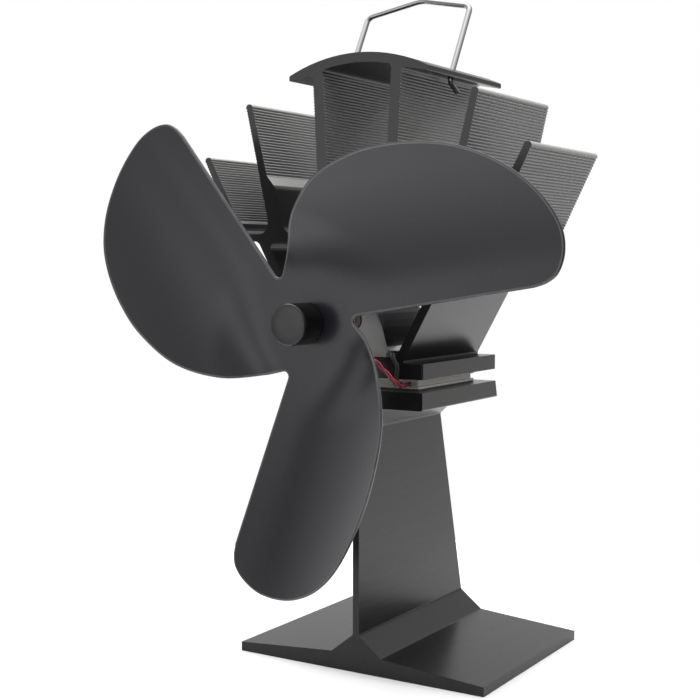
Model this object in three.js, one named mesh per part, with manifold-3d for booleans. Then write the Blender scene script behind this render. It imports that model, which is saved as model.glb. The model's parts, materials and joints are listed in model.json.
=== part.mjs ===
// Stove fan: a heat-powered fan that stands on a hot stove top.
// A thermoelectric module between the base and the heat sink drives a small motor.
// X runs to the right, Y to the back and Z up. Lengths are in millimetres.
// The origin is the centre of the base's underside.

import * as THREE from "three";
import { mergeVertices } from "three/addons/utils/BufferGeometryUtils.js";
import Module from "manifold-3d";

const wasm = await Module();
wasm.setup();

// Clearances
const seatGap = 0.05;
const fitGap = 0.3;
const pressGap = 0.1;
const runningGap = 0.06;
const overrun = 3;
const weldDistance = 0.0001;

// Base stand: one extrusion, cut on a slope at the back
const baseWidth = 95;
const baseDepth = 75;
const baseEdgeThickness = 3.2;
const baseCrownHeight = 6;
const webThickness = 2.4;
const flareHalfWidth = 9.7;
const lowerFlareHeight = 6.7;
const upperFlareHeight = 7.5;
const flareRadius = 1;
const lowerPlateTop = 95.4;
const lowerPlateThickness = 5.9;
const plateWidth = 50;
const plateDepth = 54;
const plateEdgeRadius = 0.6;

// Module stack between the plates
const moduleSide = 40;
const moduleFrontOffset = 6.6;
const padThickness = 0.4;
const ceramicThickness = 0.75;
const coreThickness = 1.6;
const coreInset = 0.8;
const upperPlateThickness = 5.1;

// Heat sink: heights are measured from the foot's underside
const footHalfWidth = 18;
const footThickness = 1.85;
const footEdgeHeight = 0.8;
const footFillet = 2;
const shelfUnderside = 39.75;
const shelfThickness = 2.5;
const armTopHalfWidth = 39.5;
const armWidth = 3.4;
const armFillet = 2.5;
const shelfCornerHalfWidth = 48.6;
const shelfCornerRadius = 2;

const outerFinRootHalfWidth = 50.1;
const outerFinRootHeight = 43;
const outerFinTipHalfWidth = 62.9;
const outerFinTipHeight = 69.2;
const outerFinTipWidth = 3;
const outerFinRootWidth = 4.2;
const outerFinRibEnd = 46.8;

const middleFinRootHalfWidth = 34.5;
const middleFinTipHalfWidth = 44.6;
const middleFinTipHeight = 86.6;
const middleFinTipWidth = 2.7;
const middleFinWaistWidth = 3.4;
const middleFinWaistHeight = 61.8;
const middleFinFootRadius = 3.6;
const shoulderWidth = 6;
const shoulderHeight = 57.6;
const shoulderRadius = 2.6;
const shoulderTopRadius = 1.3;

const innerFinRootHalfWidth = 14.2;
const innerFinTopHalfWidth = 17.3;
const innerFinWidth = 4.2;
const innerFinRibStart = 3.6;
const innerFinFootRadius = 2.9;

const finTipRadius = 1.2;
const valleyRadius = 4;
const channelFillet = 2.4;
const ribPitch = 1;
const ribDepth = 0.3;

const capCrownHeight = 100.65;
const capOuterRadius = 61.9;
const capThickness = 3.2;
const capHalfWidth = 26.3;
const capTipThickness = 1.8;
const capTipRadius = 0.5;
const capSteps = 9;

// Carry handle: a bent wire whose ends hook under the cap
const wireDiameter = 2;
const handleHalfWidth = 20.4;
const handleCornerHeight = 28;
const handleApexHeight = 32.9;
const handleBendRadius = 2.5;
const handlePivotSetback = 28;
const handleLeanDegrees = 29.3;
const hookLength = 6.5;
const hookClearance = 0.25;

// Motor bracket
const bracketThickness = 1.5;
const bracketHalfWidth = 12.4;
const bracketShoulderHalfWidth = 8.6;
const bracketShoulderRise = 2.25;
const bracketNeckRise = 4.05;
const bracketFootDepth = 8;

// Motor
const motorFootClearance = 0.25;
const motorRadius = 10;
const motorLength = 25;
const canWall = 1;
const canEdge = 1.2;
const shaftRadius = 1.15;
const bushRadius = 2.9;
const bushLength = 4;
const endCapThickness = 1.6;
const endCapPlugLength = 2;
const endCapBossRadius = 4;
const endCapBossLength = 1.4;
const magnetThickness = 2;
const magnetSetback = 4;
const magnetLength = 14;
const magnetHalfAngleDegrees = 60;
const airGap = 0.4;
const armatureMargin = 1;
const armatureNeckWidth = 2;
const armatureHubRadius = 2.6;
const armatureRimThickness = 1.3;
const armaturePoles = 3;
const armaturePoleDegrees = 96;
const commutatorRadius = 2.3;
const commutatorLength = 3.4;
const commutatorSetback = 18.2;
const brushThickness = 1.8;
const brushLength = 2.4;
const terminalInset = 4;
const terminalWidth = 2.4;
const terminalThickness = 0.5;
const terminalStart = 18.4;
const terminalEnd = 30;

// Motor screws
const motorScrewInset = 3;
const motorScrewRadius = 1.2;
const motorScrewHeadRadius = 2.2;
const motorScrewHeadHeight = 1.4;
const motorScrewReach = 1.2;

// Clamp screws that pull the sink down on the module
const clampScrewRadius = 1.5;
const clampScrewDepth = 4.6;
const frontClampSetback = 3.9;
const frontHeadRadius = 2.8;
const frontHeadHeight = 1.3;
const rearClampSetback = 50.4;
const rearHeadRadius = 2.6;
const rearHeadHeight = 2.2;
const rearHeadEdge = 0.7;
const fibreWasherRadius = 3.2;
const fibreWasherThickness = 0.8;
const driveRadius = 1.1;
const driveDepth = 1;

// Fan blade: three lobes pressed from one sheet
const bladeRadius = 89.5;
const bladeThickness = 1.2;
const bladeSetback = -28.4;
const bladeLobes = 3;
const bladeAngleDegrees = 9.5;
const camberRadius = 61;
const camberStart = 5;
const camberBlendInner = 14;
const camberBlendOuter = 34;
const camberFadeDegrees = 88;
const camberEndDegrees = 112;

// Each lobe's outline as shares of the blade radius: outward along its straight edge, and across it
const notchRadius = 1.6;
const notchShare = [0.177, -0.004];
const straightEndShare = [0.863, -0.01];
const lobeOutlineShares = [
  [0.909, -0.002],
  [0.95, 0.022],
  [0.98, 0.078],
  [0.987, 0.151],
  [0.963, 0.235],
  [0.914, 0.318],
  [0.836, 0.398],
  [0.737, 0.459],
  [0.627, 0.495],
  [0.495, 0.514],
  [0.352, 0.511],
  [0.184, 0.469],
  [0.047, 0.371],
  [-0.041, 0.243],
];

// Hub
const hubRadius = 6.5;
const hubLength = 10;
const hubFrontWall = 2.6;
const hubEdge = 0.6;
const spigotRadius = 4;
const spigotRivetLength = 0.6;
const bladeWasherRadius = 6.5;
const bladeWasherThickness = 0.9;
const grubScrewRadius = 1.5;
const grubScrewSetback = 5;

// Leads, as routes from the motor's terminals to the module's front edge, with their heights
// over the foot of the heat sink
const leadRadius = 0.8;
const redLeadRoute = [
  [-6, 30.4, 13.65],
  [-6.2, 33, 13.45],
  [-8.6, 35.4, 10.25],
  [-12.6, 34.6, 5.05],
  [-13.8, 30.5, 3.05],
  [-13.8, 22, 2.95],
  [-13.8, 12, 2.95],
  [-13.8, 3, 2.95],
  [-13.8, -1.4, 2.95],
  [-12.9, -3.1, 2.95],
  [-10.2, -3.5, 2.75],
  [-2, -3.4, 2.35],
  [7.7, -3.3, 1.55],
  [13, -3.3, -2.45],
  [17, -3.2, -5.95],
  [17.6, -1.4, -7.15],
  [17.2, 2.4, -7.25],
  [17, 6.2, -7.25],
];
const blackLeadRoute = [
  [6, 30.4, 13.65],
  [6.2, 33, 13.45],
  [8.6, 35.4, 10.25],
  [12.6, 34.6, 5.05],
  [13.8, 30.5, 3.05],
  [13.8, 22, 2.95],
  [13.8, 12, 2.95],
  [13.8, 3.4, 3.05],
  [13.9, 0.6, 3.25],
  [14.4, -1.1, 2.65],
  [15.6, -1.4, 0.85],
  [16.4, -1.4, -1.35],
  [16.4, -1.4, -4.35],
  [15.6, -1.1, -6.35],
  [14.4, 1.4, -7.15],
  [13.8, 6.2, -7.25],
];

// Facets
const roundSides = 28;
const smallSides = 20;
const wireSides = 8;
const leadSides = 8;
const wireStep = 2;
const leadStep = 2.5;
const cornerSteps = 5;
const filletStepDegrees = 18;
const splineSteps = 3;
const discRings = 8;
const discSectors = 72;

// Derived places
const fullTurn = 2 * Math.PI;
const lowerPadBottom = lowerPlateTop + seatGap;
const hotCeramicBottom = lowerPadBottom + padThickness + seatGap;
const coreBottom = hotCeramicBottom + ceramicThickness + seatGap;
const coldCeramicBottom = coreBottom + coreThickness + seatGap;
const upperPadBottom = coldCeramicBottom + ceramicThickness + seatGap;
const upperPlateBottom = upperPadBottom + padThickness + seatGap;
const sinkBottom = upperPlateBottom + upperPlateThickness + seatGap;
const valleyFloor = shelfUnderside + shelfThickness;
const capCentreHeight = capCrownHeight - capOuterRadius;
const capInnerRadius = capOuterRadius - capThickness;
const bracketBottom = sinkBottom + footThickness + seatGap;
const motorFront = seatGap;
const motorAxisHeight = bracketBottom + bracketThickness + motorFootClearance + motorRadius;
const motorScrewOffset = motorRadius - motorScrewInset;
const terminalOffset = motorRadius - terminalInset;
const hubSeat = bladeSetback - bladeThickness - seatGap;
const boreEnd = hubFrontWall - hubLength;
const lobeTurn = fullTurn / bladeLobes;
const handleLean = THREE.MathUtils.degToRad(handleLeanDegrees);

// Materials, one for each finish
const finishes = {
  blackAluminium: { color: 0x2c2c2e, roughness: 0.48, metalness: 0.55 },
  bladeBlack: { color: 0x3c3c3e, roughness: 0.42, metalness: 0.5 },
  bareAluminium: { color: 0xb4b4b2, roughness: 0.4, metalness: 0.9 },
  brightSteel: { color: 0xc8c9cb, roughness: 0.22, metalness: 1 },
  darkSteel: { color: 0x3a3b3d, roughness: 0.45, metalness: 0.8 },
  ceramic: { color: 0xe8e3d6, roughness: 0.7, metalness: 0 },
  moduleCore: { color: 0xd8d0bd, roughness: 0.8, metalness: 0 },
  graphite: { color: 0x3b3c3f, roughness: 0.65, metalness: 0.2 },
  bronze: { color: 0x9a7442, roughness: 0.45, metalness: 0.9 },
  copper: { color: 0xb06a3c, roughness: 0.4, metalness: 0.9 },
  ferrite: { color: 0x4a4744, roughness: 0.75, metalness: 0.1 },
  whitePlastic: { color: 0xd9d7cf, roughness: 0.55, metalness: 0 },
  redSleeve: { color: 0xb3262b, roughness: 0.5, metalness: 0 },
  blackSleeve: { color: 0x1b1b1d, roughness: 0.5, metalness: 0 },
  fibre: { color: 0x6d4630, roughness: 0.8, metalness: 0 },
};

function materialOf(finish) {
  return new THREE.MeshStandardMaterial(finishes[finish]);
}

function meshOf(name, geometry, finish) {
  const mesh = new THREE.Mesh(geometry, materialOf(finish));
  mesh.name = name;
  return mesh;
}

// A closed geometry as a solid for joining and cutting
function solidOf(geometry) {
  const bare = new THREE.BufferGeometry();
  bare.setAttribute("position", geometry.getAttribute("position"));
  bare.setIndex(geometry.getIndex());
  const welded = mergeVertices(bare, weldDistance);
  return new wasm.Manifold(
    new wasm.Mesh({
      numProp: 3,
      vertProperties: welded.getAttribute("position").array,
      triVerts: Uint32Array.from(welded.getIndex().array),
    }),
  );
}

function geometryOf(solid) {
  const mesh = solid.getMesh();
  const geometry = new THREE.BufferGeometry();
  const positions = new THREE.BufferAttribute(mesh.vertProperties, mesh.numProp);
  geometry.setAttribute("position", positions);
  geometry.setIndex(new THREE.BufferAttribute(mesh.triVerts, 1));
  geometry.computeVertexNormals();
  return geometry;
}

function cut(geometry, ...cutters) {
  return geometryOf(
    cutters.reduce((rest, cutter) => rest.subtract(solidOf(cutter)), solidOf(geometry)),
  );
}

function join(geometry, ...others) {
  return geometryOf(
    others.reduce((whole, other) => whole.add(solidOf(other)), solidOf(geometry)),
  );
}

// A front view outline (x, z) drawn out from the front to the back
function alongDepth(outline, front, depth, curveSegments = cornerSteps) {
  return new THREE.ExtrudeGeometry(outline, { depth, bevelEnabled: false, curveSegments })
    .rotateX(Math.PI / 2)
    .translate(0, front + depth, 0);
}

// A side view outline (y, z) drawn out from the left to the right
function alongWidth(outline, left, width) {
  return new THREE.ExtrudeGeometry(outline, { depth: width, bevelEnabled: false })
    .rotateX(Math.PI / 2)
    .rotateZ(Math.PI / 2)
    .translate(left, 0, 0);
}

// A plan outline (x, y) drawn upwards
function upwards(outline, bottom, height, curveSegments = cornerSteps) {
  return new THREE.ExtrudeGeometry(outline, {
    depth: height,
    bevelEnabled: false,
    curveSegments,
  }).translate(0, 0, bottom);
}

// A profile of [radius, height] turned round its own axis, which starts along Y
function turned(profile, sides = roundSides) {
  const points = profile.map(([radius, height]) => new THREE.Vector2(radius, height));
  if (THREE.ShapeUtils.area(points) < 0) {
    points.reverse();
  }
  const closed = profile[0][0] > 0 ? [...points, points[0]] : points;
  return new THREE.LatheGeometry(closed, sides);
}

// A plain rod along Y
function rod(radius, start, end, sides = roundSides) {
  return turned([[0, start], [radius, start], [radius, end], [0, end]], sides);
}

// A tube along Y
function ring(bore, radius, start, end, sides = roundSides) {
  return turned([[bore, start], [radius, start], [radius, end], [bore, end]], sides);
}

function box(width, depth, height, x, y, z) {
  return new THREE.BoxGeometry(width, depth, height).translate(x, y, z);
}

function polygon(points) {
  return new THREE.Shape(points.map(([x, y]) => new THREE.Vector2(x, y)));
}

function circle(x, y, radius) {
  const path = new THREE.Shape();
  path.absarc(x, y, radius, 0, fullTurn);
  return path;
}

function roundedRectangle(left, right, front, back, radius) {
  const shape = new THREE.Shape();
  shape.moveTo(left + radius, front);
  shape.lineTo(right - radius, front);
  shape.absarc(right - radius, front + radius, radius, -Math.PI / 2, 0);
  shape.absarc(right - radius, back - radius, radius, 0, Math.PI / 2);
  shape.absarc(left + radius, back - radius, radius, Math.PI / 2, Math.PI);
  shape.absarc(left + radius, front + radius, radius, Math.PI, 1.5 * Math.PI);
  return shape;
}

// Extruded outlines are traced through corners with the metal on the left of the way round.
// A corner may be rounded, and the face that leaves it may be ribbed.
function corner(x, z, radius = 0, ribbed = false) {
  return { at: new THREE.Vector2(x, z), radius, ribbed };
}

function withMirrorImage(half) {
  const other = half.map(({ at, radius }, i) =>
    corner(-at.x, at.y, radius, i > 0 && half[i - 1].ribbed),
  );
  return [...half, ...other.filter(({ at }) => at.x !== 0).reverse()];
}

function roundedCorner(before, { at, radius }, after) {
  if (radius === 0) {
    return [at];
  }
  const back = before.at.clone().sub(at).normalize();
  const ahead = after.at.clone().sub(at).normalize();
  const half = Math.acos(THREE.MathUtils.clamp(back.dot(ahead), -1, 1)) / 2;
  const middle = back.clone().add(ahead).normalize();
  const centre = at.clone().addScaledVector(middle, radius / Math.sin(half));
  const start = at.clone().addScaledVector(back, radius / Math.tan(half)).sub(centre);
  const turn = Math.sign(back.cross(ahead)) * (2 * half - Math.PI);
  const step = THREE.MathUtils.degToRad(filletStepDegrees);
  const steps = Math.max(2, Math.ceil(Math.abs(turn) / step));
  return Array.from({ length: steps + 1 }, (_, i) =>
    start.clone().rotateAround(new THREE.Vector2(), (turn * i) / steps).add(centre),
  );
}

// Fine grooves along a straight face, from crest to crest
function ribs(from, to) {
  const along = to.clone().sub(from);
  const count = Math.max(1, Math.round(along.length() / ribPitch));
  const inward = new THREE.Vector2(-along.y, along.x).setLength(ribDepth);
  return Array.from({ length: 2 * count - 1 }, (_, i) => {
    const point = from.clone().addScaledVector(along, (i + 1) / (2 * count));
    return i % 2 === 0 ? point.add(inward) : point;
  });
}

function traced(corners) {
  const count = corners.length;
  const rounded = corners.map((each, i) =>
    roundedCorner(corners[(i + count - 1) % count], each, corners[(i + 1) % count]),
  );
  return rounded.flatMap((points, i) => {
    const next = rounded[(i + 1) % count][0];
    return corners[i].ribbed ? [...points, ...ribs(points.at(-1), next)] : points;
  });
}

// Base stand: foot plate, web and lower plate, with straight flares between them
function baseProfile() {
  const web = webThickness / 2;
  const plateBottom = lowerPlateTop - lowerPlateThickness;
  const rightSide = [
    corner(baseWidth / 2, 0),
    corner(baseWidth / 2, baseEdgeThickness),
    corner(flareHalfWidth, baseCrownHeight, flareRadius),
    corner(web, baseCrownHeight + lowerFlareHeight, flareRadius),
    corner(web, plateBottom - upperFlareHeight, flareRadius),
    corner(flareHalfWidth, plateBottom, flareRadius),
    corner(plateWidth / 2, plateBottom, plateEdgeRadius),
    corner(plateWidth / 2, lowerPlateTop),
  ];
  return new THREE.Shape(traced(withMirrorImage(rightSide)));
}

// What the sloping saw cut at the back takes away, from above the foot plate to the lower plate
function slopeCutter() {
  const bottom = baseCrownHeight + lowerFlareHeight;
  const slope = (plateDepth - baseDepth) / (lowerPlateTop - bottom);
  const top = lowerPlateTop + overrun;
  const outline = polygon([
    [baseDepth, bottom],
    [baseDepth + overrun, bottom],
    [baseDepth + overrun, top],
    [baseDepth + slope * (top - bottom), top],
  ]);
  return alongWidth(outline, -baseWidth / 2, baseWidth);
}

// A hole for a clamp screw, straight down from a given height
function clampHole(setback, bottom, top) {
  return upwards(circle(0, setback, clampScrewRadius + fitGap), bottom, top - bottom, smallSides / 4);
}

const clampSetbacks = [frontClampSetback, rearClampSetback];
const clampScrewBottom = lowerPlateTop - clampScrewDepth;

function baseStand() {
  const holes = clampSetbacks.map((setback) =>
    clampHole(setback, clampScrewBottom - fitGap, lowerPlateTop + overrun),
  );
  const bar = alongDepth(baseProfile(), 0, baseDepth);
  return meshOf("base_stand", cut(bar, slopeCutter(), ...holes), "blackAluminium");
}

// Module stack
function moduleLayer(name, bottom, thickness, inset, finish) {
  const side = moduleSide - 2 * inset;
  const geometry = box(
    side,
    side,
    thickness,
    0,
    moduleFrontOffset + moduleSide / 2,
    bottom + thickness / 2,
  );
  return meshOf(name, geometry, finish);
}

function moduleStack() {
  const stack = new THREE.Group();
  stack.add(
    moduleLayer("lower_thermal_pad", lowerPadBottom, padThickness, 0, "graphite"),
    moduleLayer("module_hot_ceramic", hotCeramicBottom, ceramicThickness, 0, "ceramic"),
    moduleLayer("module_core", coreBottom, coreThickness, coreInset, "moduleCore"),
    moduleLayer("module_cold_ceramic", coldCeramicBottom, ceramicThickness, 0, "ceramic"),
    moduleLayer("upper_thermal_pad", upperPadBottom, padThickness, 0, "graphite"),
  );
  return stack;
}

function upperPlate() {
  const half = plateWidth / 2;
  const outline = roundedRectangle(-half, half, 0, plateDepth, plateEdgeRadius);
  const top = upperPlateBottom + upperPlateThickness;
  const holes = clampSetbacks.map((setback) =>
    clampHole(setback, upperPlateBottom - overrun, top + overrun),
  );
  const plate = upwards(outline, upperPlateBottom, upperPlateThickness);
  return meshOf("upper_plate", cut(plate, ...holes), "blackAluminium");
}

// Places across the fins of the heat sink
function across(height, lowHeight, lowX, highHeight, highX) {
  return THREE.MathUtils.mapLinear(height, lowHeight, highHeight, lowX, highX);
}

function outerFinFace(height) {
  return across(
    height,
    outerFinRootHeight,
    outerFinRootHalfWidth,
    outerFinTipHeight,
    outerFinTipHalfWidth,
  );
}

function middleFinFace(height) {
  return across(
    height,
    valleyFloor,
    middleFinRootHalfWidth,
    middleFinTipHeight,
    middleFinTipHalfWidth,
  );
}

function innerFinFace(height) {
  return across(
    height,
    valleyFloor,
    innerFinRootHalfWidth,
    capCrownHeight,
    innerFinTopHalfWidth,
  );
}

function capHeight(x, radius) {
  return capCentreHeight + Math.sqrt(radius * radius - x * x);
}

// Foot, arm and the shelf's overhang, up the outside
function armCorners() {
  return [
    corner(footHalfWidth, 0),
    corner(footHalfWidth, footEdgeHeight),
    corner(armTopHalfWidth, shelfUnderside, armFillet),
    corner(shelfCornerHalfWidth, shelfUnderside, shelfCornerRadius),
  ];
}

function outerFinCorners() {
  const tip = outerFinTipHeight;
  const ribEndWidth = across(
    outerFinRibEnd,
    outerFinRootHeight,
    outerFinRootWidth,
    tip,
    outerFinTipWidth,
  );
  return [
    corner(outerFinRootHalfWidth, outerFinRootHeight, 0, true),
    corner(outerFinTipHalfWidth, tip, finTipRadius),
    corner(outerFinTipHalfWidth - outerFinTipWidth, tip, finTipRadius, true),
    corner(outerFinFace(outerFinRibEnd) - ribEndWidth, outerFinRibEnd),
    corner(outerFinFace(valleyFloor) - outerFinRootWidth, valleyFloor, valleyRadius),
  ];
}

function middleFinCorners() {
  const tip = middleFinTipHeight;
  const waist = middleFinWaistHeight;
  const ribStart = valleyFloor + valleyRadius;
  return [
    corner(middleFinRootHalfWidth, valleyFloor, middleFinFootRadius),
    corner(middleFinFace(ribStart), ribStart, 0, true),
    corner(middleFinTipHalfWidth, tip, finTipRadius),
    corner(middleFinTipHalfWidth - middleFinTipWidth, tip, finTipRadius, true),
    corner(middleFinFace(waist) - middleFinWaistWidth, waist, shoulderTopRadius),
    corner(middleFinFace(shoulderHeight) - shoulderWidth, shoulderHeight, shoulderRadius),
    corner(middleFinFace(valleyFloor) - shoulderWidth, valleyFloor, valleyRadius),
  ];
}

function innerFinCorners() {
  const ribStart = valleyFloor + innerFinRibStart;
  const top = capHeight(innerFinTopHalfWidth, capInnerRadius);
  return [
    corner(innerFinRootHalfWidth, valleyFloor, innerFinFootRadius),
    corner(innerFinFace(ribStart), ribStart, 0, true),
    corner(innerFinFace(top), top, finTipRadius),
  ];
}

// The flat underside of a cap wing, from the inner fin to the thinner tip
function wingUnderside(x) {
  const root = capHeight(innerFinTopHalfWidth, capInnerRadius);
  const tip = capHeight(capHalfWidth, capOuterRadius) - capTipThickness;
  return THREE.MathUtils.mapLinear(x, innerFinTopHalfWidth, capHalfWidth, root, tip);
}

// Cap: an arched plate whose wings reach past the inner fins
function capCorners() {
  const edge = Math.asin(capHalfWidth / capOuterRadius);
  const over = Array.from({ length: capSteps + 1 }, (_, i) => {
    const angle = edge * (1 - i / capSteps);
    return corner(
      capOuterRadius * Math.sin(angle),
      capCentreHeight + capOuterRadius * Math.cos(angle),
      i === 0 ? capTipRadius : 0,
    );
  });
  return [corner(capHalfWidth, wingUnderside(capHalfWidth), capTipRadius), ...over];
}

// The hollow between the V arms, traced down its right side
function armHollow() {
  const inset = armWidth;
  const armFoot = across(
    footThickness,
    footEdgeHeight,
    footHalfWidth,
    shelfUnderside,
    armTopHalfWidth,
  );
  return withMirrorImage([
    corner(armTopHalfWidth - inset, shelfUnderside, armFillet),
    corner(armFoot - inset, footThickness, footFillet),
  ]);
}

// The channel between the inner fins, traced down its right side
function capChannel() {
  const topWall = innerFinTopHalfWidth - innerFinWidth;
  const top = capHeight(topWall, capInnerRadius);
  const edge = Math.asin(topWall / capInnerRadius);
  const ceilingSteps = Math.ceil(capSteps / 2);
  const ceiling = Array.from({ length: ceilingSteps }, (_, i) => {
    const angle = (edge * i) / ceilingSteps;
    return corner(
      capInnerRadius * Math.sin(angle),
      capCentreHeight + capInnerRadius * Math.cos(angle),
    );
  });
  const ribStart = valleyFloor + innerFinRibStart;
  return withMirrorImage([
    ...ceiling,
    corner(topWall, top, finTipRadius, true),
    corner(innerFinFace(ribStart) - innerFinWidth, ribStart),
    corner(innerFinRootHalfWidth - innerFinWidth, valleyFloor, channelFillet),
  ]);
}

// A slot that lets the handle's wire lean back to its rest
function handleSlot(side) {
  const wire = wireDiameter / 2;
  const reach = (capThickness / 2) * Math.tan(handleLean) + wire / Math.cos(handleLean);
  const half = reach + 2 * fitGap;
  const radius = wire + fitGap;
  const x = side * handleHalfWidth;
  const outline = roundedRectangle(
    x - radius,
    x + radius,
    handlePivotSetback - half,
    handlePivotSetback + half,
    radius,
  );
  const bottom = wingUnderside(capHalfWidth) - overrun;
  return upwards(outline, bottom, capCrownHeight + overrun - bottom, smallSides / 4);
}

function heatSink() {
  const outline = new THREE.Shape(
    traced(
      withMirrorImage([
        ...armCorners(),
        ...outerFinCorners(),
        ...middleFinCorners(),
        ...innerFinCorners(),
        ...capCorners(),
      ]),
    ),
  );
  outline.holes.push(
    new THREE.Path(traced(armHollow())),
    new THREE.Path(traced(capChannel())),
  );
  const holes = clampSetbacks.map((setback) =>
    clampHole(setback, -overrun, footThickness + overrun),
  );
  const bar = alongDepth(outline, 0, plateDepth);
  const mesh = meshOf(
    "heat_sink",
    cut(bar, handleSlot(-1), handleSlot(1), ...holes),
    "blackAluminium",
  );
  mesh.position.z = sinkBottom;
  return mesh;
}

// Clamp screws, turned upright
function upright(geometry) {
  return geometry.rotateX(Math.PI / 2);
}

function crossDrive(top) {
  const arm = driveRadius / 2;
  const length = 2 * driveRadius;
  const height = driveDepth + overrun;
  const middle = top - driveDepth + height / 2;
  return join(box(length, arm, height, 0, 0, middle), box(arm, length, height, 0, 0, middle));
}

function frontClampScrew() {
  const top = bracketBottom + bracketThickness - seatGap;
  const length = top - clampScrewBottom;
  const body = upright(
    turned(
      [
        [0, 0],
        [clampScrewRadius, 0],
        [clampScrewRadius, length - frontHeadHeight],
        [frontHeadRadius, length],
        [0, length],
      ],
      smallSides,
    ),
  );
  const mesh = meshOf("front_clamp_screw", cut(body, crossDrive(length)), "brightSteel");
  mesh.position.set(0, frontClampSetback, clampScrewBottom);
  return mesh;
}

function rearClampScrew() {
  const shank = sinkBottom + footThickness + 2 * seatGap + fibreWasherThickness - clampScrewBottom;
  const length = shank + rearHeadHeight;
  const body = upright(
    turned(
      [
        [0, 0],
        [clampScrewRadius, 0],
        [clampScrewRadius, shank],
        [rearHeadRadius, shank],
        [rearHeadRadius, length - rearHeadEdge],
        [rearHeadRadius - rearHeadEdge, length],
        [0, length],
      ],
      smallSides,
    ),
  );
  const mesh = meshOf("rear_clamp_screw", cut(body, crossDrive(length)), "brightSteel");
  mesh.position.set(0, rearClampSetback, clampScrewBottom);
  return mesh;
}

function rearClampWasher() {
  const bore = clampScrewRadius + fitGap;
  const washer = upright(ring(bore, fibreWasherRadius, 0, fibreWasherThickness, smallSides));
  const mesh = meshOf("rear_clamp_washer", washer, "fibre");
  mesh.position.set(0, rearClampSetback, sinkBottom + footThickness + seatGap);
  return mesh;
}

// Motor bracket: a tapered wall with a round head, bent up from a foot
function bracketOutline(axis) {
  const shoulder = bracketShoulderHalfWidth;
  const shape = new THREE.Shape();
  shape.moveTo(-bracketHalfWidth, 0);
  shape.lineTo(bracketHalfWidth, 0);
  shape.lineTo(bracketHalfWidth, bracketThickness);
  shape.lineTo(shoulder, axis + bracketShoulderRise);
  shape.lineTo(shoulder, axis + bracketNeckRise);
  shape.absarc(0, axis + bracketNeckRise, shoulder, 0, Math.PI);
  shape.lineTo(-shoulder, axis + bracketShoulderRise);
  shape.lineTo(-bracketHalfWidth, bracketThickness);
  return shape;
}

function motorBracket() {
  const axis = motorAxisHeight - bracketBottom;
  const outline = bracketOutline(axis);
  outline.holes.push(circle(0, axis, bushRadius + fitGap));
  [-1, 1].forEach((side) => {
    outline.holes.push(
      circle(0, axis + side * motorScrewOffset, motorScrewRadius + fitGap),
    );
  });
  const wall = alongDepth(outline, -bracketThickness, bracketThickness, smallSides / 2);
  const foot = box(
    2 * bracketHalfWidth,
    bracketFootDepth + bracketThickness,
    bracketThickness,
    0,
    (bracketFootDepth - bracketThickness) / 2,
    bracketThickness / 2,
  );
  const bore = clampScrewRadius + fitGap;
  const coneTop = frontHeadRadius + fitGap;
  const coneBottom = bracketThickness - seatGap - frontHeadHeight - fitGap;
  const countersink = turned(
    [
      [0, -overrun],
      [bore, -overrun],
      [bore, coneBottom],
      [coneTop, bracketThickness - fitGap],
      [coneTop, bracketThickness + seatGap],
      [0, bracketThickness + seatGap],
    ],
    smallSides,
  )
    .rotateX(Math.PI / 2)
    .translate(0, frontClampSetback, 0);
  const mesh = meshOf("motor_bracket", cut(join(wall, foot), countersink), "bareAluminium");
  mesh.position.z = bracketBottom;
  return mesh;
}

// Motor, along its own axis with its front face at zero
function motorCan() {
  const inner = motorRadius - canWall;
  const noseBore = bushRadius + pressGap;
  const can = turned([
    [noseBore, 0],
    [motorRadius - canEdge, 0],
    [motorRadius, canEdge],
    [motorRadius, motorLength],
    [inner, motorLength],
    [inner, canWall],
    [noseBore, canWall],
  ]);
  const holes = [-1, 1].map((side) =>
    rod(motorScrewRadius + fitGap, -overrun, overrun, smallSides).translate(
      0,
      0,
      side * motorScrewOffset,
    ),
  );
  return meshOf("motor_can", cut(can, ...holes), "darkSteel");
}

function terminalSlot(side) {
  return box(
    terminalThickness + 2 * pressGap,
    motorLength,
    terminalWidth + 2 * pressGap,
    side * terminalOffset,
    motorLength,
    0,
  );
}

function motorEndCap() {
  const plug = motorRadius - canWall - pressGap;
  const bore = bushRadius + pressGap;
  const seat = motorLength + seatGap;
  const back = seat + endCapThickness;
  const cap = turned([
    [bore, motorLength - endCapPlugLength],
    [plug, motorLength - endCapPlugLength],
    [plug, seat],
    [motorRadius, seat],
    [motorRadius, back],
    [endCapBossRadius, back],
    [endCapBossRadius, back + endCapBossLength],
    [bore, back + endCapBossLength],
  ]);
  return meshOf("motor_end_cap", cut(cap, terminalSlot(-1), terminalSlot(1)), "whitePlastic");
}

function bush(name, start) {
  const bore = shaftRadius + runningGap;
  return meshOf(name, ring(bore, bushRadius, start, start + bushLength, smallSides), "bronze");
}

function magnet(name, side) {
  const outer = motorRadius - canWall - fitGap;
  const inner = outer - magnetThickness;
  const spread = THREE.MathUtils.degToRad(magnetHalfAngleDegrees);
  const middle = side > 0 ? 0 : Math.PI;
  const shape = new THREE.Shape();
  shape.absarc(0, 0, outer, middle - spread, middle + spread, false);
  shape.absarc(0, 0, inner, middle + spread, middle - spread, true);
  const arc = alongDepth(shape, magnetSetback, magnetLength, smallSides / 2);
  return meshOf(name, arc, "ferrite");
}

function brush(name, side) {
  const near = commutatorRadius + runningGap;
  const far = terminalOffset - terminalThickness / 2 - pressGap;
  const block = box(
    far - near,
    brushLength,
    brushThickness,
    (side * (near + far)) / 2,
    commutatorSetback + commutatorLength / 2,
    0,
  );
  return meshOf(name, block, "graphite");
}

function terminal(name, side) {
  const tab = box(
    terminalThickness,
    terminalEnd - terminalStart,
    terminalWidth,
    side * terminalOffset,
    (terminalStart + terminalEnd) / 2,
    0,
  );
  return meshOf(name, tab, "bronze");
}

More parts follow.
